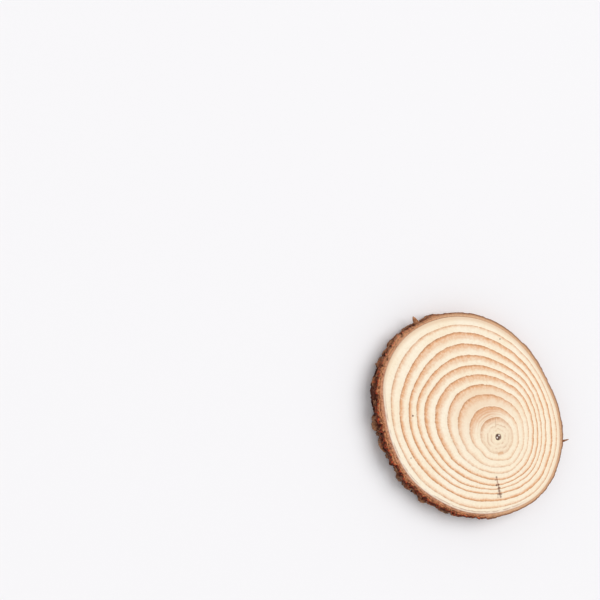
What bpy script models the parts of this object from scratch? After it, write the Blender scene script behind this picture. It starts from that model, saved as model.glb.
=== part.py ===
"""A sawn slice of a young conifer trunk: the wood with its rings, and the bark around it.

The slice lies on its back face. Sizes below are in millimetres, and MM turns them into metres.
Positions are counted from the middle of the slice: X right, Y up across the face, Z through it.
"""
from math import atan2, cos, exp, floor, hypot, pi, radians, sin

import bmesh
import bpy
from mathutils import Vector, noise

MM = 0.001

# The whole slice: reach and depth every 22.5 degrees from the right, counter-clockwise
THICKNESS = 7.0
WOOD_REACH = (38.3, 35.6, 35.6, 37.0, 38.9, 40.5, 41.2, 39.6,
              36.1, 35.0, 35.4, 36.0, 38.3, 40.7, 42.9, 41.4)
BARK_DEPTH = (1.3, 1.2, 1.3, 1.3, 1.4, 1.9, 2.7, 3.4,
              3.8, 3.3, 3.3, 3.1, 2.5, 1.5, 1.1, 1.3)
SEAM = 0.3

# The wood: each ring is partly the slice's outline made smaller and partly a round core, and
# on the left and below, where the bark grew in, the last year is this much narrower
LAST_YEAR_LOSS = (0, 0, 0, 0, 0, 0, 0, 0.3, 0.8, 0.5, 0.9, 1.4, 1.2, 0.4, 0, 0)
PITH = (11.9, -8.45)
RING_SHARES = (0.065, 0.164, 0.272, 0.361, 0.46, 0.546, 0.622, 0.705, 0.806, 0.898)
CORE_REACH = 5.1
CORE_FADE = 0.7
SIDE_GROWTH = (-0.014, 0.044, 0.012, 0.018, 0.026, -0.044, -0.033, -0.013)
SIDE_GROWTH_SCALE = 6.75
WOOD_COLUMNS = 96
RING_RELIEF = 0.2
RING_STEP = 0.2
PITH_RADIUS = 1.2
PITH_FLOOR_RADIUS = 0.7
PITH_DEPTH = 0.4

# The bark: scales with crevices between them, raised by a formula
BARK_COLUMNS = 300
BARK_ROWS = 10
SCALE_WIDTH = 4.8
SCALE_HEIGHT = 8.5
SCALE_BEND = 0.5
BEND_SHIFT = Vector((7.3, 3.1, 5.7))
CREVICE_WIDTH = 0.38
CREVICE_SHARE = 0.4
LIFT_SHARE = 0.36
LIFT_DRAW = 3
GRAIN_WIDTH = 3.0
GRAIN_LENGTH = 6.0
GRAIN_SHARE = 0.16
MEAN_SHARE = 1.02
THINNEST_BARK = 0.6

# What stands out of the bark: turn about the middle, height, reach, width and height of its foot
FLAKE = (radians(123.5), 5.6, 1.5, 1.2, 1.3)
SPLINTER = (radians(346.8), 6.2, 3.1, 0.55, 0.5)

# Surfaces
WOOD_COLOUR = (0.86, 0.66, 0.43, 1.0)
WOOD_ROUGHNESS = 0.75
BARK_COLOUR = (0.23, 0.10, 0.055, 1.0)
BARK_ROUGHNESS = 0.85
SHARP_ANGLE = radians(35)


def clear_scene():
    for old in list(bpy.data.objects):
        bpy.data.objects.remove(old, do_unlink=True)


def smooth_loop(values, turn):
    """Value at an angle of a closed smooth curve through evenly spaced values."""
    count = len(values)
    place = (turn / (2 * pi) * count) % count
    start = int(floor(place))
    part = place - start
    before, here, after, beyond = (values[(start + step) % count] for step in (-1, 0, 1, 2))
    straight = after - before
    bend = 2 * before - 5 * here + 4 * after - beyond
    twist = 3 * here - before - 3 * after + beyond
    return 0.5 * (2 * here + straight * part + bend * part ** 2 + twist * part ** 3)


def smooth_step(value):
    value = min(max(value, 0.0), 1.0)
    return value * value * (3 - 2 * value)


def wood_edge(turn):
    reach = smooth_loop(WOOD_REACH, turn)
    return reach * cos(turn), reach * sin(turn)


def ring_reach(share, edge_reach, bearing):
    """Distance from the pith of the ring that holds this share of the outline's shape."""
    core = CORE_REACH * (1 - share) ** CORE_FADE
    late_growth = SIDE_GROWTH_SCALE * share ** 2 * (1 - share)
    return share * edge_reach + core + edge_reach * smooth_loop(SIDE_GROWTH, bearing) * late_growth


def face_steps():
    """Steps from the pith outwards: ring share or plain distance, and height on the face."""
    steps = [("distance", PITH_FLOOR_RADIUS, -PITH_DEPTH), ("distance", PITH_RADIUS, 0.0)]
    for share in RING_SHARES:
        steps.append(("ring", share, RING_RELIEF))
        steps.append(("after ring", share, 0.0))
    return steps


def face_point(kind, amount, turn):
    """Point on the face, on the line from the pith to the wood's edge at this turn."""
    edge_x, edge_y = wood_edge(turn)
    across, up = edge_x - PITH[0], edge_y - PITH[1]
    edge_reach = hypot(across, up)
    bearing = atan2(up, across) % (2 * pi)
    reach = amount
    if kind != "distance":
        reach = ring_reach(amount, edge_reach + smooth_loop(LAST_YEAR_LOSS, turn), bearing)
    if kind == "after ring":
        reach += RING_STEP
    if kind == "edge":
        reach = edge_reach - SEAM / 2
    return PITH[0] + across / edge_reach * reach, PITH[1] + up / edge_reach * reach


def add_circle(mesh, points):
    return [mesh.verts.new((x * MM, y * MM, z * MM)) for x, y, z in points]


def join_circles(mesh, inner, outer):
    count = len(inner)
    for index in range(count):
        following = (index + 1) % count
        mesh.faces.new((inner[index], outer[index], outer[following], inner[following]))


def finish_object(mesh, name, colour, roughness):
    data = bpy.data.meshes.new(name)
    bmesh.ops.recalc_face_normals(mesh, faces=mesh.faces)
    mesh.to_mesh(data)
    mesh.free()
    piece = bpy.data.objects.new(name, data)
    bpy.context.scene.collection.objects.link(piece)
    data.shade_smooth()
    data.set_sharp_from_angle(angle=SHARP_ANGLE)
    material = bpy.data.materials.new(name)
    material.use_nodes = True
    shader = material.node_tree.nodes["Principled BSDF"]
    shader.inputs["Base Color"].default_value = colour
    shader.inputs["Roughness"].default_value = roughness
    shader.inputs["Metallic"].default_value = 0.0
    data.materials.append(material)
    return piece


def make_wood():
    """The disc: a ringed face, a straight side and a flat back."""
    mesh = bmesh.new()
    turns = [2 * pi * column / WOOD_COLUMNS for column in range(WOOD_COLUMNS)]
    floor_middle = mesh.verts.new((PITH[0] * MM, PITH[1] * MM, (THICKNESS - PITH_DEPTH) * MM))
    circles = []
    for kind, amount, height in face_steps() + [("edge", 0.0, 0.0)]:
        level = THICKNESS - RING_RELIEF + height
        circles.append(add_circle(mesh, [(*face_point(kind, amount, turn), level) for turn in turns]))
    for index in range(WOOD_COLUMNS):
        mesh.faces.new((floor_middle, circles[0][index], circles[0][(index + 1) % WOOD_COLUMNS]))
    for inner, outer in zip(circles, circles[1:]):
        join_circles(mesh, inner, outer)
    back = add_circle(mesh, [(*face_point("edge", 0.0, turn), 0.0) for turn in turns])
    join_circles(mesh, circles[-1], back)
    mesh.faces.new(list(reversed(back)))
    return finish_object(mesh, "wood", WOOD_COLOUR, WOOD_ROUGHNESS)


def spur(turn, height, reach_here, shape):
    """How far a flake or splinter stands out at this place."""
    middle, level, reach, half_width, half_height = shape
    away = (turn - middle + pi) % (2 * pi) - pi
    across = away * reach_here / half_width
    along = (height - level) / half_height
    return reach * exp(-across ** 2 - along ** 2)


def scale_share(x, y, z):
    """Bark depth at a place as a share of its mean depth: scales, crevices and grain."""
    place = Vector((x / SCALE_WIDTH, y / SCALE_WIDTH, z / SCALE_HEIGHT))
    bend = [noise.noise(place + BEND_SHIFT * axis) for axis in (1, 2, 3)]
    distances, middles = noise.voronoi(place + Vector(bend) * SCALE_BEND)
    crevice = 1 - smooth_step((distances[1] - distances[0]) / CREVICE_WIDTH)
    lift = noise.cell_vector(middles[0] * LIFT_DRAW).x - 0.5
    grain = noise.noise(Vector((x / GRAIN_WIDTH, y / GRAIN_WIDTH, z / GRAIN_LENGTH)))
    return MEAN_SHARE + LIFT_SHARE * lift - CREVICE_SHARE * crevice + GRAIN_SHARE * grain


def bark_point(turn, height):
    reach = smooth_loop(WOOD_REACH, turn)
    depth = smooth_loop(BARK_DEPTH, turn)
    skin = reach + depth
    share = scale_share(skin * cos(turn), skin * sin(turn), height)
    skin = reach + max(depth * share, THINNEST_BARK + SEAM / 2)
    skin += spur(turn, height, skin, FLAKE) + spur(turn, height, skin, SPLINTER)
    return skin * cos(turn), skin * sin(turn), height


def make_bark():
    """The ring: a scaly outer wall, sawn faces above and below and the wall next to the wood."""
    mesh = bmesh.new()
    turns = [2 * pi * column / BARK_COLUMNS for column in range(BARK_COLUMNS)]
    circles = []
    for row in range(BARK_ROWS):
        height = THICKNESS * (1 - row / (BARK_ROWS - 1))
        circles.append(add_circle(mesh, [bark_point(turn, height) for turn in turns]))
    for height in (0.0, THICKNESS):
        inner = []
        for turn in turns:
            reach = smooth_loop(WOOD_REACH, turn) + SEAM / 2
            inner.append((reach * cos(turn), reach * sin(turn), height))
        circles.append(add_circle(mesh, inner))
    for index, circle in enumerate(circles):
        join_circles(mesh, circle, circles[(index + 1) % len(circles)])
    return finish_object(mesh, "bark", BARK_COLOUR, BARK_ROUGHNESS)


def centre_on_origin(pieces):
    """Moves the pieces so that the origin is under the middle of the slice's box."""
    corners = [vertex.co for piece in pieces for vertex in piece.data.vertices]
    middle = [(min(c[axis] for c in corners) + max(c[axis] for c in corners)) / 2 for axis in (0, 1)]
    for piece in pieces:
        piece.location = (-middle[0], -middle[1], 0.0)


clear_scene()
centre_on_origin([make_wood(), make_bark()])
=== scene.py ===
"""Looks of the wood slice: ringed wood, scaly bark, a pale floor and soft studio light.

Sizes are in millimetres, counted from the middle of the slice as in its source, and MM turns
them into the frame's metres. Turns go round the middle and bearings round the pith.
"""
import random
from math import atan, cos, pi, radians, sin

import bpy
import numpy as np
from mathutils import Matrix, Vector, noise


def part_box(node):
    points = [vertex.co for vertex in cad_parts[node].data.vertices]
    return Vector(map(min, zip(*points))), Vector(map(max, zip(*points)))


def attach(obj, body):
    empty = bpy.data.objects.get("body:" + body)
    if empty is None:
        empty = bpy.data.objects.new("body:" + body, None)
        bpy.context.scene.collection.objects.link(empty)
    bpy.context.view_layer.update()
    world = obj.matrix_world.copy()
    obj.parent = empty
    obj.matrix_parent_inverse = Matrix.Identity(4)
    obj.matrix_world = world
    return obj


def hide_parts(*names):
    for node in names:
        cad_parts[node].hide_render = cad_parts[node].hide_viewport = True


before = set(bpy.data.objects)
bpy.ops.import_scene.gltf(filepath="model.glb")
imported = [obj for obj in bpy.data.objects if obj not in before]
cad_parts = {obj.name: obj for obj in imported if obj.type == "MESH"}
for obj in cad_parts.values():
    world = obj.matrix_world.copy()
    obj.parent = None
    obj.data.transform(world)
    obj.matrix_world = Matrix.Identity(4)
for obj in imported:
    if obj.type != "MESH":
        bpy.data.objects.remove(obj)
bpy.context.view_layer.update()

MM = 0.001

# The slice's outline and its rings, as in the source
THICKNESS = 7.0
WOOD_REACH = (38.3, 35.6, 35.6, 37.0, 38.9, 40.5, 41.2, 39.6,
              36.1, 35.0, 35.4, 36.0, 38.3, 40.7, 42.9, 41.4)
BARK_DEPTH = (1.3, 1.2, 1.3, 1.3, 1.4, 1.9, 2.7, 3.4,
              3.8, 3.3, 3.3, 3.1, 2.5, 1.5, 1.1, 1.3)
SEAM = 0.3
LAST_YEAR_LOSS = (0, 0, 0, 0, 0, 0, 0, 0.3, 0.8, 0.5, 0.9, 1.4, 1.2, 0.4, 0, 0)
PITH = (11.9, -8.45)
RING_SHARES = (0.065, 0.164, 0.272, 0.361, 0.46, 0.546, 0.622, 0.705, 0.806, 0.898)
CORE_REACH = 5.1
CORE_FADE = 0.7
SIDE_GROWTH = (-0.014, 0.044, 0.012, 0.018, 0.026, -0.044, -0.033, -0.013)
SIDE_GROWTH_SCALE = 6.75
CAD_COLUMNS = 96

# Where the rings bulge or dip: bearing in degrees, year and push, and how far each spreads
RING_BENDS = ((5, 10, 0.6), (30, 7, -0.4), (40, 2.5, 0.5), (60, 4, 0.6), (60, 7.5, 0.3), (85, 1, 0.4),
              (90, 6, -0.7), (85, 9.5, 0.3), (112, 5.5, -0.7), (115, 8.7, 1.3), (130, 3, 0.3),
              (140, 6.7, -0.7), (150, 9, -1.3), (165, 3.5, -0.3), (165, 6, 0.8), (178, 8, 0.5),
              (190, 3.6, -0.9), (200, 9.5, -0.2), (200, 7, -0.2), (215, 2, -1.0), (225, 7, 0.8),
              (240, 9.3, 0.2), (255, 8, -0.6), (250, 4, -0.2), (265, 6, 0.6), (285, 4.5, 0.8),
              (290, 9.5, 0.5), (300, 2, 0.9), (320, 9.5, 0.6), (325, 6, 0.4), (340, 2, 0.3),
              (345, 9, 0.5), (350, 6, 0.2))
BEND_TURN = radians(17)
BEND_YEARS = 1.3
WAVE_HEIGHT = 0.2
WAVES = 7
WAVE_YEARS = 2.2
CALM_YEARS = 3

# The wood: how dark each year's late wood is on the narrow side, and where it is broad
RING_STRENGTH = (0.4, 0.5, 0.46, 0.54, 1.02, 1.12, 0.98, 1.12, 1.14, 0.66, 0.0)
LAST_YEAR = 0.7
BROAD_BEARING = radians(118)
BROAD_POWER = 4
FIRST_YEAR_GAIN = 0.7
LATE_START = 0.35
LATE_SPREAD = 0.5
WOOD_COLUMNS = 560
TOP_STEPS = (16, 9, 9, 9, 8, 8, 8, 8, 8, 8, 8)
BACK_STEPS = (8, 5, 5, 5, 4, 4, 4, 4, 4, 4, 4)
FIRST_CIRCLE = 0.25
YEAR_START = 0.004
YEAR_END = 0.988
WOOD_SEAM = 0.04
WOOD_TOP = 6.98
FACE_RELIEF = 0.025
PITH_RADIUS = 1.35
PITH_POWER = 4
PITH_DEPTH = 0.25
PITH_HOLES = ((-0.34, -0.25, 0.42), (0.42, 0.62, 0.38))
PITH_HOLE_STRENGTH = 0.95

# Marks on the wood's face: lines from a start to an end, with their half width and strength
MARK_LINE = ((11.05, -24.2), (12.9, -32.3), 0.44, 0.6)
CHECK_LINE = ((10.7, -1.2), (10.7, -4.3), 0.2, 0.45)
STREAK_LINE = ((11.6, -15.3), (14.3, -14.7), 0.85, 0.55)

# Round marks: place, radius and strength
SPOTS = ((-24.6, -0.4, 0.5, 0.95), (-25.3, -16.8, 0.36, 0.7), (12.7, 30.6, 0.42, 0.75),
         (11.1, -24.3, 0.5, 0.7), (11.1, -27.5, 0.48, 0.95), (12.0, -27.3, 0.5, 0.9),
         (12.3, -28.5, 0.62, 0.8), (11.8, -28.9, 0.45, 0.6), (12.2, -29.6, 0.6, 0.5),
         (12.5, -31.1, 0.62, 0.7), (11.8, -31.1, 0.55, 0.6), (13.2, -31.0, 0.55, 0.65),
         (12.9, -32.1, 0.6, 0.6), (11.7, -32.2, 0.5, 0.3), (10.6, -25.4, 0.5, 0.4),
         (12.5, -30.1, 0.9, 0.35))

# The bark's relief: the values down to THINNEST_BARK are as in the source
SCALE_WIDTH = 4.8
SCALE_HEIGHT = 8.5
SCALE_BEND = 0.5
BEND_SHIFT = (7.3, 3.1, 5.7)
CREVICE_WIDTH = 0.38
CREVICE_SHARE = 0.4
LIFT_SHARE = 0.36
LIFT_DRAW = 3
GRAIN_SIZE = (3.0, 6.0)
GRAIN_SHARE = 0.16
MEAN_SHARE = 1.02
THINNEST_BARK = 0.6
CREVICE_FADE = 1.6
CALM_SHARE = 0.6
CALM_GAIN = 0.1
BARK_COLUMNS = 1000
BARK_ROWS = 48
ROUGH_DEPTH = (1.3, 2.6)

# Finer relief of the wall: sizes across and up, and depths; thin bark keeps a share of it
LAYER_SIZE = (2.2, 3.4)
LAYER_SHIFT = 20
LAYER_COUNT = 2.6
LAYER_LIFT = 3
LAYER_EDGE = 3.5
LAYER_STEP = 0.16
PLATE_SIZE = (1.5, 2.4)
PLATE_GAP = 0.3
PLATE_GAP_DEPTH = 0.22
PLATE_GAP_SHADE = 0.6
FINE_SIZE = (0.7, 0.9)
FINEST_SIZE = (0.33, 0.4)
FINEST_SHARE = 0.5
FINE_DEPTH = 0.07
THIN_BARK_SHARE = 0.25

# Chips and wear along the wall's edges: widths, depths and heights
CHIP_WIDTH = 3.2
CHIP_SHARE = 0.65
NICK_WIDTH = 1.1
NICK_SHARE = 0.6
MOST_CHIP = 1.2
CHIP_DEPTH = 0.9
CHIP_HEIGHT = 2.2
CHIP_HEIGHT_WIDTH = 2.0
CHIP_HEIGHT_MEAN = 0.6
CHIP_HEIGHT_CHANGE = 0.5
SIDE_SHIFT = 9
HEIGHT_SHIFT = 4
LIP_SHARE = 0.3
LIP_HEIGHT = 0.9
LIP_END = 1.0
EDGE_WEAR = 0.08
EDGE_WEAR_HEIGHT = 0.4
FOOT_WEAR = 0.25
FOOT_WEAR_HEIGHT = 3.0
EDGE_DROP = 0.06

# The bark's sawn faces: sizes and depths of torn spots, ridges and cracks, and the worn edge
CUT_STEPS = 13
CUT_DROP = 0.05
CUT_FADE = 4
TORN_SIZE = 0.8
TORN_SHIFT = 8.0
TORN_DEPTH = 0.16
RIDGE_SIZE = 1.4
RIDGE_SHIFT = 5.0
RIDGE_DEPTH = 0.2
SHEETS_OUTWARDS = 1.5
SHEETS_ROUND = 5
SHEET_SHIFT = 3.0
CRACK_SIZE = 3.0
CRACK_EDGE = 4
CRACK_THINNESS = 7
CRACK_DEPTH = 0.35
EDGE_START = 0.75
EDGE_ROUNDING = 0.12

# What stands out of the bark: root, tip, half width and half thickness at the root
SPLINTER = ((40.2, -10.1, 6.2), (43.3, -9.25, 6.6), 0.52, 0.45)
FLAKE = ((-22.2, 34.9, 5.9), (-24.6, 38.6, 6.5), 1.4, 0.45)
SLIVER_SIDES = 12
SLIVER_STEPS = 14
SLIVER_BEND = 0.25
SLIVER_SWELL = 0.25
SLIVER_SWELL_SCALE = 1.7
SLIVER_TIP = 0.04
SLIVER_FLATNESS = 0.35
SLIVER_WAVE = 0.12
SLIVER_WAVE_SCALE = 1.9
SLIVER_SHADES = (-0.4, 0.5)

# Thin scales that peel from the bark's outer wall: their sizes are drawn from these ranges
PEEL_COUNT = 120
PEEL_STEPS = 9
PEEL_THICKNESS = 0.12
PEEL_MARGIN = 0.9
PEEL_WIDTHS = (0.5, 1.7)
PEEL_HEIGHTS = (0.6, 1.9)
PEEL_RISES = (0.1, 0.4)
PEEL_SHADES = (-0.5, 0.5)
PEEL_LEAST_DEPTH = 1.0
PEEL_DEPTH_SPREAD = 1.2
PEEL_WOBBLE = 0.35
PEEL_WAVES = ((1.6, 3.1, 0.0), (4.5, 5.3, 3.0))
PEEL_ROUNDNESS = 4
PEEL_FULLNESS = 1.02
PEEL_FLATNESS = 0.5
PEEL_EDGE = 0.1
PEEL_SINK = 0.04

# Camera: the face is turned from the view line, with its middle at a pixel of the photograph
IMAGE_SIZE = 600
LENS = 85.0
SENSOR = 36.0
CAMERA_DISTANCE = 567.0
FACE_TURN = radians(24)
FACE_PIXEL = (471.0, 415.0)
FACE_MIDDLE = (0.07, 0.17)

# Light: brightness of a white surface lying flat, and how it is shared
LIGHT_LEVEL = 1.1
SKY_ZENITH = 0.62
SKY_HORIZON = 0.95
SKY_FADE = 0.5
SUN_SHARE = 0.42
SUN_SOFTNESS = radians(50)
SUN_FROM = (0.62, 0.35, 1.0)
FLOOR_SIZE = 12.0

# Colours of the wood, the bark and the floor as they look on a screen; some are painted light or painted
# shade on the bark and the pith
COLOURS = {
    "pale early wood": (254, 242, 220),
    "warm early wood": (252, 236, 208),
    "late wood": (232, 171, 122),
    "ring line": (172, 120, 86),
    "dark speckle": (176, 132, 102),
    "pale speckle": (255, 248, 232),
    "heart": (234, 200, 164),
    "heart arcs": (212, 168, 136),
    "second year": (224, 170, 128),
    "young years": (232, 188, 148),
    "streak": (222, 164, 116),
    "check": (186, 142, 108),
    "mark": (150, 84, 58),
    "spot": (112, 74, 56),
    "pith ring": (252, 238, 205),
    "shaded pith": (96, 66, 56),
    "lit pith": (150, 120, 102),
    "pith hole": (244, 238, 228),
    "tan rim": (216, 164, 120),
    "pale rim": (252, 243, 230),
    "rim line": (168, 118, 90),
    "pink rim": (214, 166, 138),
    "seam rim": (206, 154, 120),
    "brown scale": (116, 68, 44),
    "tan scale": (176, 122, 86),
    "grey scale": (132, 112, 98),
    "pale fleck": (212, 162, 122),
    "dark fleck": (58, 32, 22),
    "dark red": (46, 16, 10),
    "bright red": (182, 80, 46),
    "painted thin crevice shade": (104, 62, 44),
    "painted light on scales": (184, 126, 88),
    "red crack with painted shade": (84, 34, 20),
    "painted deep crack shade": (38, 16, 10),
    "dark sheet": (136, 80, 50),
    "light sheet": (204, 138, 94),
    "dark patch": (92, 50, 34),
    "inner thin bark": (240, 198, 158),
    "outer thin bark": (182, 134, 100),
    "pit": (52, 36, 30),
    "dark pink": (190, 130, 100),
    "light pink": (226, 172, 142),
    "dark ember": (48, 12, 8),
    "bright ember": (196, 74, 38),
    "outer line": (92, 52, 35),
    "painted cut crack shade": (62, 22, 12),
    "painted light on cut bark": (222, 168, 128),
    "floor": (247, 246, 248)}

# Noise over a place in millimetres: scale, detail and roughness
NOISES = {
    "jag": (0.8, 4.0, 0.65),
    "drift": (0.4, 2.0, 0.5),
    "grain": (0.9, 4.0, 0.75),
    "fibre": (5.0, 3.0, 0.75),
    "cloud": (0.08, 3.0, 0.5),
    "pith edge": (1.1, 2.0, 0.5),
    "patches": (0.55, 4.0, 0.6),
    "fine": (2.8, 4.0, 0.7),
    "grey": (0.3, 3.0, 0.6),
    "sparks": (1.1, 3.0, 0.65),
    "sheet bend": (0.3, 2.0, 0.5),
    "sheets": (1.0, 3.0, 0.6)}

# Noise that runs round the pith: scale round it, scale outwards, detail and roughness
ROUND_NOISES = {
    "blotch": (3.0, 1.1, 2.0, 0.5),
    "lines": (2.5, 11.0, 3.0, 0.6),
    "rays": (45.0, 0.7, 3.0, 0.7),
    "flecks": (1.6, 0.8, 3.0, 0.65),
    "broken": (14.0, 1.0, 2.0, 0.5)}

SEED = 11


def smooth_loop(values, turns):
    """Closed smooth curve through evenly spaced values, read at an array of angles."""
    values = np.asarray(values, float)
    count = len(values)
    place = (turns / (2 * pi) * count) % count
    start = np.floor(place).astype(int)
    part = place - start
    before, here, after, beyond = (values[(start + step) % count] for step in (-1, 0, 1, 2))
    bend = 2 * before - 5 * here + 4 * after - beyond
    twist = 3 * here - before - 3 * after + beyond
    return 0.5 * (2 * here + (after - before) * part + bend * part ** 2 + twist * part ** 3)


def smooth_step(value):
    """0 below 0, 1 above 1 and smooth between them."""
    value = np.clip(value, 0.0, 1.0)
    return value * value * (3 - 2 * value)


def rough_share(depth):
    """0 where the bark is thin and calm, and 1 where it is thick and scaly."""
    return smooth_step((depth - ROUGH_DEPTH[0]) / (ROUGH_DEPTH[1] - ROUGH_DEPTH[0]))


def noise_at(*place):
    """Smooth noise, about -1 to 1, at arrays of places."""
    x, y, z = np.broadcast_arrays(*place)
    flat = np.stack([x.ravel(), y.ravel(), z.ravel()], 1).tolist()
    return np.array([noise.noise(point) for point in flat]).reshape(x.shape)


def wall_noise(x, y, heights, size, shift=0):
    """Noise on the bark's wall, with one size across it and one up it."""
    return noise_at(x / size[0], y / size[0], heights / size[1] + shift)


def cells_at(*place):
    """Distances to the nearest and the next cell middle, and a number drawn for each cell."""
    x, y, z = np.broadcast_arrays(*place)
    near, following, drawn = [], [], []
    for point in np.stack([x.ravel(), y.ravel(), z.ravel()], 1).tolist():
        distances, middles = noise.voronoi(point)
        near.append(distances[0])
        following.append(distances[1])
        drawn.append(noise.cell_vector(middles[0] * LIFT_DRAW).x - 0.5)
    return (np.array(column).reshape(x.shape) for column in (near, following, drawn))


def even_turns(count):
    """Angles from 0 to just below a whole turn."""
    return np.arange(count) * 2 * pi / count


def wood_rays(count, shrink):
    """Unit ways from the pith to the wood's edge, with the distances and the bearings."""
    turns = even_turns(count)
    reach = smooth_loop(WOOD_REACH, turns)
    ways = np.stack([reach * np.cos(turns), reach * np.sin(turns)], 1) - PITH
    distance = np.hypot(ways[:, 0], ways[:, 1])
    bearing = np.arctan2(ways[:, 1], ways[:, 0]) % (2 * pi)
    outline = distance + smooth_loop(LAST_YEAR_LOSS, turns)
    return ways / distance[:, None], distance - shrink, bearing, outline


def ring_distances(edge, bearing, outline):
    """Distance from the pith of the pith itself, each ring and the edge, a row for each."""
    rows = [np.zeros_like(edge)]
    for year, share in enumerate(RING_SHARES, 1):
        late = SIDE_GROWTH_SCALE * share ** 2 * (1 - share)
        growth = outline * smooth_loop(SIDE_GROWTH, bearing) * late
        distance = share * outline + CORE_REACH * (1 - share) ** CORE_FADE + growth
        waves = noise_at(np.cos(bearing) * WAVES, np.sin(bearing) * WAVES, year / WAVE_YEARS)
        distance = distance + WAVE_HEIGHT * waves * min(year / CALM_YEARS, 1)
        for middle, middle_year, push in RING_BENDS:
            away = (bearing - radians(middle) + pi) % (2 * pi) - pi
            fade = np.exp(-(away / BEND_TURN) ** 2) * np.exp(-((year - middle_year) / BEND_YEARS) ** 2)
            distance = distance + push * fade
        rows.append(distance)
    return np.array(rows + [edge])


def slice_shift():
    """Moves slice places into the frame, whose origin is under the middle of the CAD box."""
    ways, edge, *_ = wood_rays(CAD_COLUMNS, SEAM / 2)
    low = (ways * edge[:, None] + PITH).min(0)
    box_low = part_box("wood")[0]
    return np.array([box_low[0] / MM - low[0], box_low[1] / MM - low[1], 0.0])


SHIFT = slice_shift()


def add_piece(name, points, faces, values, material):
    """A smooth mesh from points in slice millimetres, with named values on its points."""
    data = bpy.data.meshes.new(name)
    data.from_pydata(((points + SHIFT) * MM).tolist(), [], faces)
    for label, numbers in values.items():
        kind, field = ("FLOAT_VECTOR", "vector") if numbers.ndim == 2 else ("FLOAT", "value")
        layer = data.attributes.new(label, kind, "POINT")
        layer.data.foreach_set(field, numbers.astype(np.float32).ravel())
    data.shade_smooth()
    data.materials.append(material)
    piece = bpy.data.objects.new(name, data)
    bpy.context.scene.collection.objects.link(piece)
    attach(piece, "root")
    return piece


def band_faces(rows, columns, closed):
    """Quads between consecutive circles of points, and from the last to the first if closed."""
    row, column = np.meshgrid(np.arange(rows if closed else rows - 1), np.arange(columns), indexing="ij")
    following_row = (row + 1) % rows
    following = (column + 1) % columns
    corners = [row * columns + column, following_row * columns + column,
               following_row * columns + following, row * columns + following]
    return np.stack(corners, -1).reshape(-1, 4).tolist()


def stack_rows(*parts):
    """Joins blocks of circles, each a dictionary of arrays, into one block."""
    return {label: np.concatenate([part[label] for part in parts]) for label in parts[0]}


def flatten(block):
    """A block's points and its other values, as plain lists of points."""
    values = {}
    for label, numbers in block.items():
        values[label] = numbers.reshape(-1, 3) if numbers.ndim == 3 else numbers.ravel()
    return values.pop("points"), values


class Field:
    """A value in a material's node tree, with arithmetic."""

    def __init__(self, surface, socket):
        self.surface = surface
        self.socket = socket

    def math(self, operation, *others):
        return self.surface.math(operation, self, *others)

    def __add__(self, other):
        return self.math("ADD", other)

    def __sub__(self, other):
        return self.math("SUBTRACT", other)

    def __rsub__(self, other):
        return self.surface.math("SUBTRACT", other, self)

    def __mul__(self, other):
        return self.math("MULTIPLY", other)

    __radd__ = __add__

    def fraction(self):
        return self.math("FRACT")

    def step(self, low, high):
        """0 below low, 1 above high and smooth between them."""
        inputs = {"Value": self, "From Min": low, "From Max": high}
        return self.surface.node("ShaderNodeMapRange", inputs, "Result", interpolation_type="SMOOTHSTEP")


class Surface:
    """A procedural material: its methods add nodes, and return what comes out of them."""

    def __init__(self, name, roughness, specular):
        self.material = bpy.data.materials.new(name)
        self.material.use_nodes = True
        self.tree = self.material.node_tree
        self.shader = self.tree.nodes["Principled BSDF"]
        self.set(self.shader.inputs["Roughness"], roughness)
        self.set(self.shader.inputs["Specular IOR Level"], specular)

    def set(self, socket, value):
        if isinstance(value, Field):
            self.tree.links.new(value.socket, socket)
        else:
            socket.default_value = value

    def node(self, kind, inputs, output, **settings):
        node = self.tree.nodes.new(kind)
        for name, value in settings.items():
            setattr(node, name, value)
        for name, value in inputs.items():
            self.set(node.inputs[name], value)
        return Field(self, node.outputs[output])

    def math(self, operation, *values):
        return self.node("ShaderNodeMath", dict(enumerate(values)), 0, operation=operation)

    def value(self, name):
        return self.node("ShaderNodeAttribute", {}, "Fac", attribute_name=name)

    def vector(self, name):
        return self.node("ShaderNodeAttribute", {}, "Vector", attribute_name=name)

    def scaled(self, vector, scale, shift=(0, 0, 0)):
        """A vector times a scale for each axis, plus a shift."""
        inputs = {0: vector, 1: scale, 2: shift}
        return self.node("ShaderNodeVectorMath", inputs, 0, operation="MULTIPLY_ADD")

    def joined(self, x, y, z):
        return self.node("ShaderNodeCombineXYZ", {"X": x, "Y": y, "Z": z}, 0)

    def axes(self, vector):
        split = self.tree.nodes.new("ShaderNodeSeparateXYZ")
        self.set(split.inputs[0], vector)
        return (Field(self, output) for output in split.outputs)

    def slice_place(self):
        """The place on the slice, in its own millimetres."""
        place = self.node("ShaderNodeTexCoord", {}, "Object")
        return self.scaled(place, (1 / MM,) * 3, tuple(-SHIFT))

    def noise(self, place, scale, detail, roughness):
        """Cloudy noise about 0, from about -0.5 to 0.5."""
        inputs = {"Vector": place, "Scale": scale, "Detail": detail, "Roughness": roughness}
        return self.node("ShaderNodeTexNoise", inputs, "Fac") - 0.5

    def mix(self, amount, first, second):
        """Colour that goes from the first to the second."""
        node = self.tree.nodes.new("ShaderNodeMix")
        node.data_type = "RGBA"
        for index, value in zip((0, 6, 7), (amount, first, second)):
            self.set(node.inputs[index], value)
        return Field(self, node.outputs[2])

    def bump(self, height, strength, distance):
        """Fine relief, its height times the distance in millimetres."""
        inputs = {"Height": height, "Strength": strength, "Distance": distance * MM}
        self.set(self.shader.inputs["Normal"], self.node("ShaderNodeBump", inputs, "Normal"))


def linear(part):
    """Share of full light that a screen shows for a value from 0 to 255."""
    part = part / 255
    return part / 12.92 if part <= 0.04045 else ((part + 0.055) / 1.055) ** 2.4


def paint(name):
    """Surface colour that looks like the named screen colour when it lies flat in the light."""
    return tuple(min(linear(part) / LIGHT_LEVEL, 1.0) for part in COLOURS[name]) + (1.0,)


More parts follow.
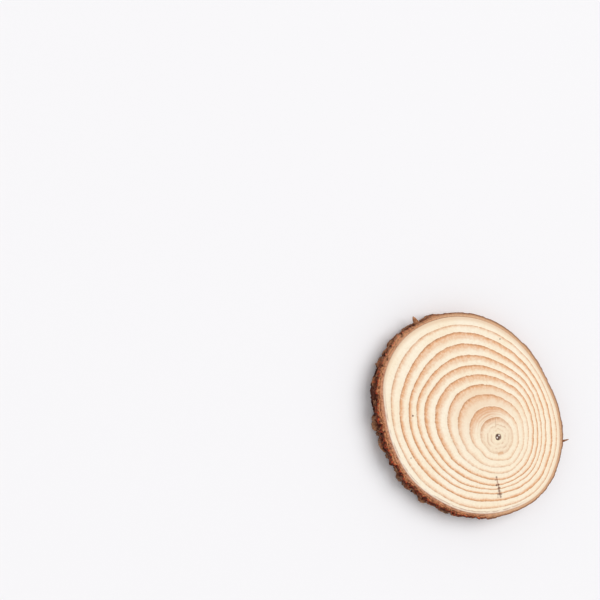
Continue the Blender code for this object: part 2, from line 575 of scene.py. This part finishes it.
def line_mark(surface, place, colour, tint, line, wander):
    """Tints a ragged line from a start to an end."""
    start, end, half_width, strength = line
    way = Vector(end) - Vector(start)
    length = way.length
    way.normalize()
    x, y, _ = surface.axes(place)
    along = ((x - start[0]) * way.x + (y - start[1]) * way.y) * (1 / length)
    across = ((x - start[0]) * way.y - (y - start[1]) * way.x + wander * half_width).math("ABSOLUTE")
    inside = (1 - across.step(half_width * 0.3, half_width)) * along.step(-0.05, 0.1)
    inside = inside * (1 - along.step(0.85, 1.05))
    return surface.mix(inside * strength, colour, paint(tint))


def spot_mark(surface, place, colour, tint, spot, wander):
    """Tints a ragged round spot."""
    x, y, radius, strength = spot
    away = surface.node("ShaderNodeVectorMath", {0: place, 1: (x, y, 0)}, "Value", operation="DISTANCE")
    inside = 1 - (away + wander * radius).step(radius * 0.4, radius * 1.1)
    return surface.mix(inside * strength, colour, paint(tint))


def wood_material():
    """Pale early wood that darkens to each year's late wood, with rays, fibres and marks."""
    surface = Surface("ringed wood", roughness=0.72, specular=0.3)
    place = surface.slice_place()
    flat = surface.scaled(place, (1, 1, 0))
    years, strength, broad = (surface.value(name) for name in ("years", "strength", "broad"))
    reach, rim = surface.value("reach"), surface.value("rim")
    way_x, way_y, _ = surface.axes(surface.vector("way"))

    def around(name, outwards):
        """Noise that runs round the pith, and changes outwards with a field."""
        turning, scale, detail, roughness = ROUND_NOISES[name]
        round_place = surface.joined(way_x * turning, way_y * turning, outwards * scale)
        return surface.noise(round_place, 1.0, detail, roughness)

    # How far each year has darkened
    jag = surface.noise(place, *NOISES["jag"]) * 0.2
    part = (years + jag * years.step(0.4, 3.0)).fraction()
    blotch = around("blotch", years)
    drift = surface.noise(place, *NOISES["drift"])
    first = 1 - years.step(0.9, 1.1)
    wide = broad * (1 - years.step(8.95, 9.05))
    start = 0.42 + first * 0.34 - wide * 0.22 + blotch * 0.35 + drift * 0.3
    slow_rise = ((part - start) * (1 / 0.46)).step(0.0, 1.0)
    quick_rise = part.step(0.62 + blotch * 0.1, 0.93)
    edge = part.step(0.8, 0.93)
    drop = 1 - part.step(0.97, 1.0)
    dark = strength + blotch * 0.3
    late = (slow_rise * 0.6 + quick_rise * 0.4) * drop * dark

    # Rays, fibres and clouds
    lines = around("lines", years)
    rays = around("rays", years)
    grain = surface.noise(place, *NOISES["grain"])
    fibre = surface.noise(place, *NOISES["fibre"])
    cloud = surface.noise(place, *NOISES["cloud"])
    uneven = lines * 0.5 + rays * 0.9 + grain * 1.2 + fibre
    late = late + uneven * (0.25 + late * 0.75)

    # The rings' colours and the speckle over them
    early_colour = surface.mix(cloud.step(-0.25, 0.25), paint("pale early wood"), paint("warm early wood"))
    colour = surface.mix(late, early_colour, paint("late wood"))
    dark_line = edge * drop * dark * (0.34 + broad * 0.12 + uneven)
    colour = surface.mix(dark_line, colour, paint("ring line"))
    dark_speckle = (fibre + grain * 0.8).step(0.0, 0.22)
    colour = surface.mix(dark_speckle * (0.13 + late * 0.14), colour, paint("dark speckle"))
    pale_speckle = (0 - fibre - grain * 0.8).step(0.04, 0.26)
    colour = surface.mix(pale_speckle * 0.4, colour, paint("pale speckle"))

    # The first years
    heart = 1 - reach.step(4.5, 8.0)
    colour = surface.mix(heart * 0.22, colour, paint("heart"))
    arcs = (reach * 0.6 + blotch * 1.1).fraction().step(0.35, 0.95) * (1 - reach.step(5.6, 7.0))
    flecks = around("flecks", reach)
    colour = surface.mix(arcs * flecks.step(-0.16, 0.12) * 0.6, colour, paint("heart arcs"))
    second = years.step(0.98, 1.1) * (1 - years.step(1.8, 2.0))
    false_rings = (years * 4.6 + blotch).fraction().step(0.25, 0.95) * second
    tanned = (false_rings * 0.55 + second * 0.35) * broad * broad
    colour = surface.mix(tanned, colour, paint("second year"))
    young = years.step(1.9, 2.1) * (1 - years.step(3.0, 4.3))
    colour = surface.mix(young * broad * (1 - late) * 0.38, colour, paint("young years"))

    # Marks, and the pith with its holes, whose sunken disc has painted light on one side and painted shade
    # on the other
    colour = line_mark(surface, flat, colour, "streak", STREAK_LINE, fibre * 2)
    colour = line_mark(surface, flat, colour, "check", CHECK_LINE, fibre)
    colour = line_mark(surface, flat, colour, "mark", MARK_LINE, fibre * 2)
    for spot in SPOTS:
        colour = spot_mark(surface, flat, colour, "spot", spot, grain + fibre)
    colour = surface.mix((1 - reach.step(1.5, 2.4)) * 0.6, colour, paint("pith ring"))
    ragged = reach + surface.noise(place, *NOISES["pith edge"]) * 0.7
    # Painted light and shade: the pith's disc is paler on its lit side and darker on the other.
    lit_side = way_x.step(-0.2, 0.9) * reach.step(0.5, 1.1)
    disc = surface.mix(lit_side, paint("shaded pith"), paint("lit pith"))
    colour = surface.mix(1 - ragged.step(1.15, 1.5), colour, disc)
    for x, y, radius in PITH_HOLES:
        hole = (PITH[0] + x, PITH[1] + y, radius, PITH_HOLE_STRENGTH)
        colour = spot_mark(surface, flat, colour, "pith hole", hole, fibre)

    # The last year: tan where it is whole, and pale with a line where the bark grew in
    whole = (way_x + way_y).step(-0.9, -0.35)
    tan_rim = (1 - (rim + rays * 0.8 + grain - broad * 1.1).step(-0.5, 1.3)) * whole
    colour = surface.mix(tan_rim * 0.45, colour, paint("tan rim"))
    broken = around("broken", rim)
    pale_rim = (1 - (rim + broken).step(0.6, 1.3)) * (1 - whole)
    colour = surface.mix(pale_rim * (0.35 + broken), colour, paint("pale rim"))
    rim_line = (1 - (rim + broken * 0.9 - 0.8).math("ABSOLUTE").step(0.05, 0.4)) * (1 - whole)
    colour = surface.mix(rim_line * (broken + blotch).step(-0.25, 0.1) * 0.6, colour, paint("rim line"))
    pink_rim = (1 - (rim + grain * 1.5).step(0.0, 0.9)) * (1 - whole)
    colour = surface.mix(pink_rim * 0.5, colour, paint("pink rim"))
    seam_rim = 1 - (rim + fibre * 0.3).step(0.02, 0.22)
    colour = surface.mix(seam_rim * 0.45, colour, paint("seam rim"))

    surface.set(surface.shader.inputs["Base Color"], colour)
    surface.bump(fibre * 0.9 + grain * 0.6 + rays * 0.6, strength=0.5, distance=0.04)
    return surface.material


def bark_outside(surface, fields):
    """Grey brown scales, pale and dark flecks, and dark red where the bark is chipped or cracked, with
    painted shade in its cracks and in the groove under the top rim, and painted light towards the top of
    the face.
    """
    patches, fine, sparks, grey = (fields[name] for name in ("patches", "fine", "sparks", "grey"))
    crevice, lift, rough, chip = (fields[name] for name in ("crevice", "lift", "rough", "chip"))
    up, level = fields["up"], fields["level"]
    tone = (patches + lift * 0.35).step(-0.22, 0.24)
    colour = surface.mix(tone, paint("brown scale"), paint("tan scale"))
    colour = surface.mix(grey.step(0.0, 0.14) * 0.6, colour, paint("grey scale"))
    colour = surface.mix(fine.step(0.02, 0.16) * 0.7, colour, paint("pale fleck"))
    colour = surface.mix((0 - fine).step(0.02, 0.16) * 0.85, colour, paint("dark fleck"))
    embers = (fine * 0.9 + patches * 0.4 + sparks * 1.2).step(-0.04, 0.18)
    red = surface.mix(embers, paint("dark red"), paint("bright red"))
    # Partly real colour and partly painted shade: the band under the top rim and the wall's upper part turn
    # dark red, as inner bark shows there and shade falls in the groove.
    upper = level.step(2.5, 6.5) * rough
    chipped = (chip + fine * 0.8 + sparks * 0.7 + upper * 0.34).step(0.12, 0.42)
    colour = surface.mix(chipped, colour, red)
    # Painted shade: thin calm bark is darker in its crevices.
    thin_crevice_shade = crevice.step(0.6, 1.0) * (1 - rough) * 0.55
    colour = surface.mix(thin_crevice_shade, colour, paint("painted thin crevice shade"))
    # Painted light: the scales are lighter towards the top of the face.
    colour = surface.mix(up.step(-4.0, 20.0) * 0.26, colour, paint("painted light on scales"))
    # Partly real red and partly painted shade: cracks and plate gaps turn dark red, and the deepest go
    # almost black with painted shade.
    crack = crevice * (0.25 + rough * 0.75)
    colour = surface.mix((crack + fine * 0.5 + sparks * 0.4).step(0.35, 0.9), colour, paint("red crack with painted shade"))
    return surface.mix((crack + fine * 0.6).step(0.85, 1.15) * 0.85, colour, paint("painted deep crack shade"))


def bark_cut(surface, fields, place):
    """Brown sheets where the bark is sawn, pink next to the wood and dark red at the outside, with painted
    shade in its cracks and dark pits, and painted light towards the top of the face.
    """
    patches, fine, sparks = (fields[name] for name in ("patches", "fine", "sparks"))
    layer, crevice, rough, up = (fields[name] for name in ("layer", "crevice", "rough", "up"))
    bend = surface.noise(place, *NOISES["sheet bend"]) * 7.0
    sheets = surface.noise(surface.joined(layer * 5.5, bend, 0.0), *NOISES["sheets"])
    mottle = fine * 0.35 + sparks * 0.9 + sheets * 0.5
    tone = (sheets * 1.3 + sparks * 0.7).step(-0.12, 0.12)
    colour = surface.mix(tone, paint("dark sheet"), paint("light sheet"))
    colour = surface.mix((mottle + patches * 0.5).step(-0.2, 0.04), paint("dark patch"), colour)
    thin_tone = (layer + fine * 0.3).step(0.0, 0.9)
    thin = surface.mix(thin_tone, paint("inner thin bark"), paint("outer thin bark"))
    colour = surface.mix((1 - rough) * 0.9, colour, thin)
    # Painted shade: dark pits that stand in for holes in the thick sawn bark.
    pit_shade = (patches + sparks * 0.7).step(0.07, 0.16) * layer.step(0.25, 0.5) * rough
    colour = surface.mix(pit_shade * 0.85, colour, paint("pit"))
    pink = surface.mix(sparks.step(-0.1, 0.14), paint("dark pink"), paint("light pink"))
    inner = (1 - (layer + mottle * 0.6).step(0.06, 0.44)) * (0.35 + rough * 0.5)
    colour = surface.mix(inner, colour, pink)
    ember = surface.mix((fine * 0.7 + sparks).step(-0.04, 0.18), paint("dark ember"), paint("bright ember"))
    outer = (layer + mottle * 0.6).step(0.6, 0.8)
    colour = surface.mix(outer * rough * 0.9, colour, ember)
    outer_line = (layer + fine * 0.3).step(0.6 + rough * 0.24, 0.96 + rough * 0.06)
    colour = surface.mix(outer_line * 0.7, colour, paint("outer line"))
    # Painted shade: cracks in the sawn face are darkened almost to black.
    colour = surface.mix(crevice.step(0.2, 0.85), colour, paint("painted cut crack shade"))
    # Painted light: thick sawn bark is lighter towards the top of the face.
    return surface.mix(up.step(12.0, 30.0) * rough * 0.28, colour, paint("painted light on cut bark"))


def bark_material():
    """Brown layered bark where it is sawn, and grey brown scales with dark red crevices outside, with
    painted shade in the cracks, pits and the groove under the top rim, and painted light towards the top of
    the face.
    """
    surface = Surface("scaly bark", roughness=0.86, specular=0.2)
    place = surface.slice_place()
    names = ("skin", "layer", "crevice", "lift", "rough", "chip")
    fields = {name: surface.value(name) for name in names}
    _, fields["up"], fields["level"] = surface.axes(place)
    flat = surface.scaled(place, (1, 1, 0.35))
    fields["patches"] = surface.noise(flat, *NOISES["patches"])
    fields["fine"] = surface.noise(flat, *NOISES["fine"])
    fields["grey"] = surface.noise(surface.scaled(place, (1, 1, 0.5), (9, 4, 2)), *NOISES["grey"])
    fields["sparks"] = surface.noise(surface.scaled(place, (1, 1, 0.6), (3, 7, 5)), *NOISES["sparks"])
    outside = bark_outside(surface, fields)
    cut = bark_cut(surface, fields, place)
    surface.set(surface.shader.inputs["Base Color"], surface.mix(fields["skin"], cut, outside))
    surface.bump(fields["fine"] * 1.4 + fields["patches"] * 0.6, strength=0.8, distance=0.16)
    return surface.material


def wood_face(steps, level, side, rays):
    """The circles of one sawn face: side is 1 for the upper face and -1 for the back."""
    ways, edge, bearing, outline = rays
    rings = ring_distances(edge, bearing, outline)
    years, reach = [], []
    for ring, count in enumerate(steps):
        last = ring == len(steps) - 1
        parts = np.linspace(YEAR_START, 1.0 if last else YEAR_END, count)
        for part in parts:
            years.append(ring + part * (LAST_YEAR if last else 1.0))
            reach.append(rings[ring] + (rings[ring + 1] - rings[ring]) * part)
    years = np.array(years)[:, None] + np.zeros_like(edge)
    reach = np.maximum(np.array(reach), FIRST_CIRCLE * (1 + years))
    ring = years.astype(int)
    broad = (np.cos(bearing - BROAD_BEARING) * 0.5 + 0.5) ** BROAD_POWER + np.zeros_like(years)
    strength = np.array(RING_STRENGTH)[ring]
    gain = np.where(ring == 0, FIRST_YEAR_GAIN, ring < len(RING_SHARES) - 1)
    strength = strength + (1 - strength) * broad * gain
    late = smooth_step((years % 1.0 - LATE_START) / LATE_SPREAD)
    pit = PITH_DEPTH * np.exp(-(reach / PITH_RADIUS) ** PITH_POWER)
    height = level - side * (FACE_RELIEF * (1 - late) + pit)
    x, y = (PITH[axis] + ways[:, axis] * reach for axis in (0, 1))
    way = np.zeros(reach.shape + (3,))
    way[..., :2] = ways
    return {"points": np.stack([x, y, height], -1), "years": years, "strength": strength,
            "broad": broad, "reach": reach, "rim": edge - reach, "way": way}


def make_wood():
    """The disc, ringed on both sawn faces."""
    rays = wood_rays(WOOD_COLUMNS, WOOD_SEAM)
    top = wood_face(TOP_STEPS, WOOD_TOP, 1, rays)
    back = wood_face(BACK_STEPS, 0.0, -1, rays)
    back = {label: numbers[::-1] for label, numbers in back.items()}
    points, values = flatten(stack_rows(top, back))
    rows = len(points) // WOOD_COLUMNS
    faces = band_faces(rows, WOOD_COLUMNS, False)
    top_middle, back_middle = len(points), len(points) + 1
    last_row = (rows - 1) * WOOD_COLUMNS
    for column in range(WOOD_COLUMNS):
        following = (column + 1) % WOOD_COLUMNS
        faces.append((top_middle, column, following))
        faces.append((back_middle, last_row + following, last_row + column))
    pit = FACE_RELIEF + PITH_DEPTH
    points = np.concatenate([points, [[*PITH, WOOD_TOP - pit], [*PITH, pit]]])
    for label, numbers in values.items():
        values[label] = np.concatenate([numbers, np.zeros((2,) + numbers.shape[1:])])
    piece = add_piece("wood_disc", points, faces, values, wood_material())
    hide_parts("wood")


def scale_relief(x, y, heights, end, rough):
    """The bark's depth as a share of its mean depth, its crevices and each scale's lift."""
    place = [x / SCALE_WIDTH, y / SCALE_WIDTH, heights / SCALE_HEIGHT]
    bent = []
    for axis in (1, 2, 3):
        shifted = [part + shift * axis for part, shift in zip(place, BEND_SHIFT)]
        bent.append(place[axis - 1] + SCALE_BEND * noise_at(*shifted))
    near, following, lift = cells_at(*bent)
    crevice = 1 - smooth_step((following - near) / CREVICE_WIDTH)
    grain = wall_noise(x, y, heights, GRAIN_SIZE)
    notch = CREVICE_SHARE * crevice * (0.5 + 0.5 * smooth_step(end / CREVICE_FADE))
    relief = LIFT_SHARE * lift - notch + GRAIN_SHARE * grain
    relief = relief * (CALM_SHARE + (1 - CALM_SHARE) * rough)
    return MEAN_SHARE + CALM_GAIN * (1 - rough) + relief, crevice, lift


def fine_relief(x, y, heights, lift, rough):
    """Relief of thin layers, small plates and grain, in millimetres, and the gaps between plates."""
    steps = wall_noise(x, y, heights, LAYER_SIZE, LAYER_SHIFT) * LAYER_COUNT + lift * LAYER_LIFT
    stairs = np.floor(steps) + smooth_step((steps % 1.0) * LAYER_EDGE)
    near, following, _ = cells_at(x / PLATE_SIZE[0], y / PLATE_SIZE[0], heights / PLATE_SIZE[1])
    gaps = 1 - smooth_step((following - near) / PLATE_GAP)
    fine = wall_noise(x, y, heights, FINE_SIZE) + FINEST_SHARE * wall_noise(x, y, heights, FINEST_SIZE)
    relief = LAYER_STEP * (stairs - steps) - PLATE_GAP_DEPTH * gaps
    relief = relief * (THIN_BARK_SHARE + rough * (1 - THIN_BARK_SHARE))
    return relief + FINE_DEPTH * fine, gaps


def edge_wear(x, y, heights, end, rough):
    """How strongly each place is chipped, and how many millimetres are worn off in all."""
    side = np.sign(heights - THICKNESS / 2) * SIDE_SHIFT
    nicks = NICK_SHARE * noise_at(x / NICK_WIDTH, y / NICK_WIDTH, side)
    size = CHIP_SHARE + noise_at(x / CHIP_WIDTH, y / CHIP_WIDTH, side) + nicks
    tall = noise_at(x / CHIP_HEIGHT_WIDTH, y / CHIP_HEIGHT_WIDTH, side + HEIGHT_SHIFT)
    tall = CHIP_HEIGHT * (CHIP_HEIGHT_MEAN + CHIP_HEIGHT_CHANGE * tall)
    lip = LIP_SHARE + (1 - LIP_SHARE) * smooth_step(end / LIP_HEIGHT)
    groove = lip * (1 - smooth_step((end - LIP_END) / tall))
    under_edge = np.where(heights > THICKNESS / 2, groove, 1 - smooth_step(end / tall))
    # The chip value also sets where the bark's material paints dark red, partly painted shade in the groove
    # under the top rim.
    chip = np.clip(size, 0, MOST_CHIP) * under_edge * rough
    worn = CHIP_DEPTH * chip + EDGE_WEAR * (1 - smooth_step(end / EDGE_WEAR_HEIGHT))
    foot = FOOT_WEAR * rough * (heights < THICKNESS / 2)
    return chip, worn + foot * (1 - smooth_step(end / FOOT_WEAR_HEIGHT))


def bark_wall(turns, heights):
    """The outer wall's places, with how deep each is in a crevice, its scale's lift and its wear."""
    turns, heights = np.meshgrid(turns, heights)
    reach = smooth_loop(WOOD_REACH, turns)
    depth = smooth_loop(BARK_DEPTH, turns)
    rough = rough_share(depth)
    skin = reach + depth
    x, y = skin * np.cos(turns), skin * np.sin(turns)
    end = np.minimum(heights, THICKNESS - heights)
    share, crevice, lift = scale_relief(x, y, heights, end, rough)
    detail, gaps = fine_relief(x, y, heights, lift, rough)
    chip, worn = edge_wear(x, y, heights, end, rough)
    depth = np.maximum(depth * share, THINNEST_BARK + SEAM / 2) + detail - worn
    skin = reach + np.maximum(depth, THINNEST_BARK)
    # The crevice value also holds the gaps between plates, which the bark's material darkens with painted
    # shade.
    return turns, heights, skin, np.maximum(crevice, gaps * PLATE_GAP_SHADE * rough), lift, rough, chip


def cut_rows(turns, wall_row, level, side):
    """Circles of one sawn face of the bark, from the wall's edge in to the wood."""
    skin, lift, rough = wall_row
    inner = smooth_loop(WOOD_REACH, turns) + WOOD_SEAM
    layer = np.linspace(1, 0, CUT_STEPS)[1:-1, None] + np.zeros_like(turns)
    reach = inner + (skin - inner) * layer
    x, y = reach * np.cos(turns), reach * np.sin(turns)
    sheets = noise_at((reach - inner) * SHEETS_OUTWARDS, turns * SHEETS_ROUND, level + SHEET_SHIFT)
    torn = noise_at(x / TORN_SIZE, y / TORN_SIZE, level + TORN_SHIFT)
    spread = smooth_step(noise_at(x / CRACK_SIZE, y / CRACK_SIZE, level) * CRACK_EDGE)
    cracks = smooth_step((1 - np.abs(sheets) * CRACK_THINNESS) * spread) * rough
    middle = np.clip(np.minimum(layer, 1 - layer) * CUT_FADE, 0, 1)
    ridges = noise_at(x / RIDGE_SIZE, y / RIDGE_SIZE, level + RIDGE_SHIFT)
    drop = TORN_DEPTH * np.abs(torn) + RIDGE_DEPTH * np.abs(ridges) * rough + CRACK_DEPTH * cracks
    drop = CUT_DROP + drop * middle
    drop = drop + EDGE_ROUNDING * smooth_step((layer - EDGE_START) / (1 - EDGE_START))
    points = np.stack([x, y, level - side * drop], -1)
    blank = np.zeros_like(x)
    return {"points": points, "skin": blank, "layer": layer, "crevice": cracks,
            "lift": lift + blank, "rough": rough + blank, "chip": blank}


def make_sliver(name, shape, material):
    """A torn chip of bark from its root to its tip, with an oval section that runs out."""
    root, tip, half_width, half_thickness = shape
    root, tip = Vector(root), Vector(tip)
    way = tip - root
    wide = way.cross(Vector((0, 0, 1))).normalized()
    thick = wide.cross(way).normalized()
    rows = []
    for step in range(SLIVER_STEPS):
        along = step / (SLIVER_STEPS - 1)
        middle = root + way * along + thick * SLIVER_BEND * along * (1 - along)
        swell = 1 + SLIVER_SWELL * noise.noise(middle * SLIVER_SWELL_SCALE)
        taper = (1 - along) ** 0.5 * swell + SLIVER_TIP
        row = []
        for corner in range(SLIVER_SIDES):
            angle = 2 * pi * corner / SLIVER_SIDES
            rise = half_thickness * (SLIVER_FLATNESS + (1 - SLIVER_FLATNESS) * taper)
            point = middle + wide * cos(angle) * half_width * taper
            point = point + thick * sin(angle) * rise * min(taper * 2, 1)
            wave = SLIVER_WAVE * noise.noise(point * SLIVER_WAVE_SCALE)
            row.append(point + Vector((0, 0, 1)) * wave)
        rows.append(row)
    points = np.array([list(point) for row in rows for point in row])
    points[:, 2] = np.clip(points[:, 2], 0, THICKNESS)
    faces = band_faces(SLIVER_STEPS, SLIVER_SIDES, False)
    faces.append(tuple(range(SLIVER_SIDES)))
    faces.append(tuple(reversed(range(len(points) - SLIVER_SIDES, len(points)))))
    values = {label: np.zeros(len(points)) for label in ("layer", "crevice", "rough", "chip")}
    values["skin"] = np.ones(len(points))
    values["lift"] = np.repeat(np.linspace(*SLIVER_SHADES, SLIVER_STEPS), SLIVER_SIDES)
    piece = add_piece(name, points, faces, values, material)
    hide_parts("bark")


def make_scales(turns, heights, skin, material):
    """Thin scales that peel from the wall, most of them where the bark is thick."""
    draw = random.Random(SEED)
    turn_step = turns[1] - turns[0]
    points, lifts, roughs = [], [], []
    grid = np.linspace(-1, 1, PEEL_STEPS)
    across, up = np.meshgrid(grid, grid)
    round_across = across * np.sqrt(1 - up ** 2 / 2)
    round_up = up * np.sqrt(1 - across ** 2 / 2)
    rounding = PEEL_FULLNESS - np.maximum(np.abs(across), np.abs(up)) ** PEEL_ROUNDNESS
    thin = PEEL_THICKNESS * np.sqrt(np.clip(rounding, 0, 1))
    made = 0
    while made < PEEL_COUNT:
        turn, height = draw.uniform(0, 2 * pi), draw.uniform(PEEL_MARGIN, THICKNESS - PEEL_MARGIN)
        width, tall = draw.uniform(*PEEL_WIDTHS), draw.uniform(*PEEL_HEIGHTS)
        lean, peel, lift = draw.uniform(0, 2 * pi), draw.uniform(*PEEL_RISES), draw.uniform(*PEEL_SHADES)
        depth = float(smooth_loop(BARK_DEPTH, np.array([turn]))[0])
        if draw.random() > smooth_step((depth - PEEL_LEAST_DEPTH) / PEEL_DEPTH_SPREAD):
            continue
        made += 1
        wobble = 1
        for scale, shift, level in PEEL_WAVES:
            wave = noise_at(round_across * scale + made * shift, round_up * scale, level)
            wobble = wobble + PEEL_WOBBLE * wave
        row_height = np.clip(height + round_up * tall * wobble, PEEL_EDGE, THICKNESS - PEEL_EDGE)
        reach_here = float(smooth_loop(WOOD_REACH, np.array([turn]))[0]) + depth
        row_turn = turn + round_across * width * wobble / reach_here
        column = np.round((row_turn % (2 * pi)) / turn_step).astype(int) % len(turns)
        row = np.abs(row_height[..., None] - heights).argmin(-1)
        wall = skin[row, column]
        base = wall.mean() * PEEL_FLATNESS + wall * (1 - PEEL_FLATNESS)
        tilt = np.clip((round_across * cos(lean) + round_up * sin(lean) + 1) / 2, 0, 1)
        under = base - PEEL_SINK + peel * tilt ** 2
        for reach in (under, under + thin):
            points.append(np.stack([reach * np.cos(row_turn), reach * np.sin(row_turn), row_height], -1))
            lifts.append(np.full(reach.shape, lift))
            roughs.append(np.full(reach.shape, rough_share(depth)))
    points = np.array(points).reshape(-1, 3)
    first_corners = 2 * PEEL_STEPS ** 2 * np.arange(PEEL_COUNT)[:, None, None]
    faces = (np.array(scale_faces())[None] + first_corners).reshape(-1, 4).tolist()
    values = {label: np.zeros(len(points)) for label in ("layer", "crevice", "chip")}
    values["skin"] = np.ones(len(points))
    values["rough"] = np.array(roughs).ravel()
    values["lift"] = np.array(lifts).ravel()
    piece = add_piece("bark_scales", points, faces, values, material)
    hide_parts("bark")


def scale_faces():
    """Quads of one scale: its underside, its outer side and the strip between them."""
    last = PEEL_STEPS - 1
    size = PEEL_STEPS ** 2
    faces = []
    for row in range(last):
        for column in range(last):
            corner = row * PEEL_STEPS + column
            under = [corner, corner + PEEL_STEPS, corner + PEEL_STEPS + 1, corner + 1]
            faces.append(under)
            faces.append([index + size for index in reversed(under)])
    ends = [(0, step) for step in range(last)] + [(step, last) for step in range(last)]
    ends += [(last, last - step) for step in range(last)] + [(last - step, 0) for step in range(last)]
    loop = [row * PEEL_STEPS + column for row, column in ends]
    for index, corner in enumerate(loop):
        following = loop[(index + 1) % len(loop)]
        faces.append([corner, following, following + size, corner + size])
    return faces


def make_bark():
    """The ring of bark: a scaly outer wall, two sawn faces and the wall next to the wood."""
    turns = even_turns(BARK_COLUMNS)
    share = np.linspace(0, 1, BARK_ROWS)
    heights = THICKNESS * (1 - (smooth_step(share) + share) / 2)
    turn_grid, height_grid, skin, crevice, lift, rough, chip = bark_wall(turns, heights)
    height_grid = np.clip(height_grid, EDGE_DROP, THICKNESS - EDGE_DROP)
    wall = {"points": np.stack([skin * np.cos(turn_grid), skin * np.sin(turn_grid), height_grid], -1),
            "skin": np.ones_like(skin), "layer": np.ones_like(skin), "crevice": crevice,
            "lift": lift, "rough": rough, "chip": chip}
    wall_values = (skin, lift, rough)
    back = cut_rows(turns, [values[-1] for values in wall_values], 0.0, -1)
    top = cut_rows(turns, [values[0] for values in wall_values], THICKNESS, 1)
    top = {label: numbers[::-1] for label, numbers in top.items()}
    inner = smooth_loop(WOOD_REACH, turns) + WOOD_SEAM
    inner_x, inner_y = inner * np.cos(turns), inner * np.sin(turns)
    sides = []
    for level in (0.0, THICKNESS - EDGE_DROP / 2):
        row = {label: np.zeros((1, BARK_COLUMNS)) for label in top if label != "points"}
        row["points"] = np.stack([inner_x, inner_y, np.full_like(inner, level)], -1)[None]
        row["rough"] = rough[:1]
        sides.append(row)
    points, values = flatten(stack_rows(wall, back, *sides, top))
    faces = band_faces(len(points) // BARK_COLUMNS, BARK_COLUMNS, True)
    material = bark_material()
    piece = add_piece("bark_ring", points, faces, values, material)
    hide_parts("bark")
    make_sliver("bark_splinter", SPLINTER, material)
    make_sliver("bark_flake", FLAKE, material)
    make_scales(turns, heights, skin, material)


def make_floor():
    """A wide pale floor, which isn't part of the slice."""
    half = FLOOR_SIZE / 2
    data = bpy.data.meshes.new("floor")
    corners = [(-half, -half, 0), (half, -half, 0), (half, half, 0), (-half, half, 0)]
    data.from_pydata(corners, [], [(0, 1, 2, 3)])
    surface = Surface("floor", roughness=0.6, specular=0.2)
    surface.set(surface.shader.inputs["Base Color"], paint("floor"))
    data.materials.append(surface.material)
    floor = bpy.data.objects.new("floor", data)
    bpy.context.scene.collection.objects.link(floor)


def make_light():
    """A pale surround, brighter at the horizon, and one wide soft light from the upper right."""
    world = bpy.data.worlds.new("surround")
    world.use_nodes = True
    nodes, links = world.node_tree.nodes, world.node_tree.links
    place = nodes.new("ShaderNodeTexCoord")
    split = nodes.new("ShaderNodeSeparateXYZ")
    rise = nodes.new("ShaderNodeMapRange")
    rise.inputs["From Max"].default_value = SKY_FADE
    rise.inputs["To Min"].default_value = SKY_HORIZON
    rise.inputs["To Max"].default_value = SKY_ZENITH
    links.new(place.outputs["Generated"], split.inputs[0])
    links.new(split.outputs["Z"], rise.inputs["Value"])
    links.new(rise.outputs["Result"], nodes["Background"].inputs["Strength"])
    nodes["Background"].inputs["Color"].default_value = (1, 1, 1, 1)
    bpy.context.scene.world = world

    lamp = bpy.data.lights.new("soft light", "SUN")
    way = Vector(SUN_FROM).normalized()
    lamp.energy = SUN_SHARE * LIGHT_LEVEL * pi / way.z
    lamp.angle = SUN_SOFTNESS
    light = bpy.data.objects.new("soft light", lamp)
    light.rotation_euler = way.to_track_quat("Z", "Y").to_euler()
    bpy.context.scene.collection.objects.link(light)


def make_camera():
    """Looks at the face as the photograph does, with the slice at the same place in the frame."""
    camera_data = bpy.data.cameras.new("camera")
    camera_data.lens = LENS
    camera_data.sensor_width = SENSOR
    camera = bpy.data.objects.new("camera", camera_data)
    pixels = LENS / SENSOR * IMAGE_SIZE
    swing = atan((FACE_PIXEL[0] - IMAGE_SIZE / 2) / pixels)
    nod = atan((FACE_PIXEL[1] - IMAGE_SIZE / 2) / pixels * cos(swing))
    facing = Matrix.Rotation(-FACE_TURN, 3, "Y")
    aim = facing @ Matrix.Rotation(nod, 3, "X") @ Matrix.Rotation(swing, 3, "Y")
    middle = Vector((FACE_MIDDLE[0] + SHIFT[0], FACE_MIDDLE[1] + SHIFT[1], THICKNESS))
    position = middle + facing @ Vector((0, 0, CAMERA_DISTANCE))
    camera.matrix_world = Matrix.Translation(position * MM) @ aim.to_4x4()
    bpy.context.scene.collection.objects.link(camera)
    bpy.context.scene.camera = camera


make_camera()
make_light()
make_floor()
make_wood()
make_bark()
bpy.context.scene.view_settings.view_transform = "Standard"
